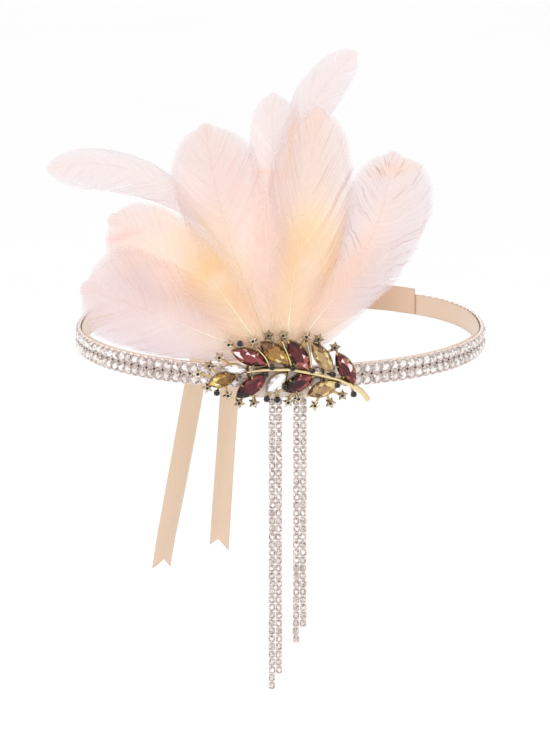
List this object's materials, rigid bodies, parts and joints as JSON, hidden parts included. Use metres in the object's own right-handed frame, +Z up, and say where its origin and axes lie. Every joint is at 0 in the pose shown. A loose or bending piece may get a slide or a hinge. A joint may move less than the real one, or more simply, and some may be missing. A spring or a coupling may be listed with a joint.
{
  "type": "flapper feather headband",
  "caption": "Crystal headband on a ribbon tape with a fan of dyed feathers behind a leaf brooch, hanging crystal chains and a ribbon tied at the back.",
  "frame": {"origin": "middle of the head opening, half way up the ribbon tape, where the band sits on the head", "axes": "+Z up, the front with brooch and feathers towards -Y, the wearer's left towards +X"},
  "size_m": [0.1901, 0.2046, 0.2682],
  "materials": {
    "satin_ribbon": "satin",
    "felt": "matte",
    "crystal_chain": "clear stones in polished cups",
    "feather_blush": "soft dyed feather",
    "feather_peach": "soft dyed feather",
    "gold_cast": "antiqued gold tone",
    "stone_burgundy": "faceted",
    "stone_amber": "faceted",
    "stone_champagne": "faceted",
    "stone_clear": "faceted"
  },
  "bodies": {
    "root": {"band_tape": "satin_ribbon", "tie_ribbon_right": "satin_ribbon", "tie_ribbon_left": "satin_ribbon", "ribbon_knot": "satin_ribbon", "ribbon_tail_long": "satin_ribbon", "ribbon_tail_short": "satin_ribbon", "mount_pad": "felt", "crystal_chain_left": "crystal_chain", "crystal_chain_right": "crystal_chain", "drop_chain_long": "crystal_chain", "drop_chain_short": "crystal_chain", "feather_wisp_top": "feather_blush", "feather_wisp_left": "feather_blush", "feather_centre_left": "feather_blush", "feather_upper_left": "feather_blush", "feather_right": "feather_blush", "feather_left_high": "feather_blush", "feather_centre": "feather_blush", "feather_left_low": "feather_blush", "feather_front_centre": "feather_blush", "feather_right_low": "feather_blush", "feather_front_left": "feather_peach", "feather_front_right": "feather_peach", "brooch_frame": "gold_cast", "stone_burgundy_upper": "stone_burgundy", "stone_burgundy_crown": "stone_burgundy", "stone_burgundy_end": "stone_burgundy", "stone_burgundy_lower": "stone_burgundy", "stone_burgundy_middle": "stone_burgundy", "stone_amber_upper": "stone_amber", "stone_amber_end": "stone_amber", "stone_champagne_upper": "stone_champagne", "stone_champagne_lower": "stone_champagne", "stone_clear_lower": "stone_clear", "stone_clear_end": "stone_clear"}
  },
  "joints": []
}
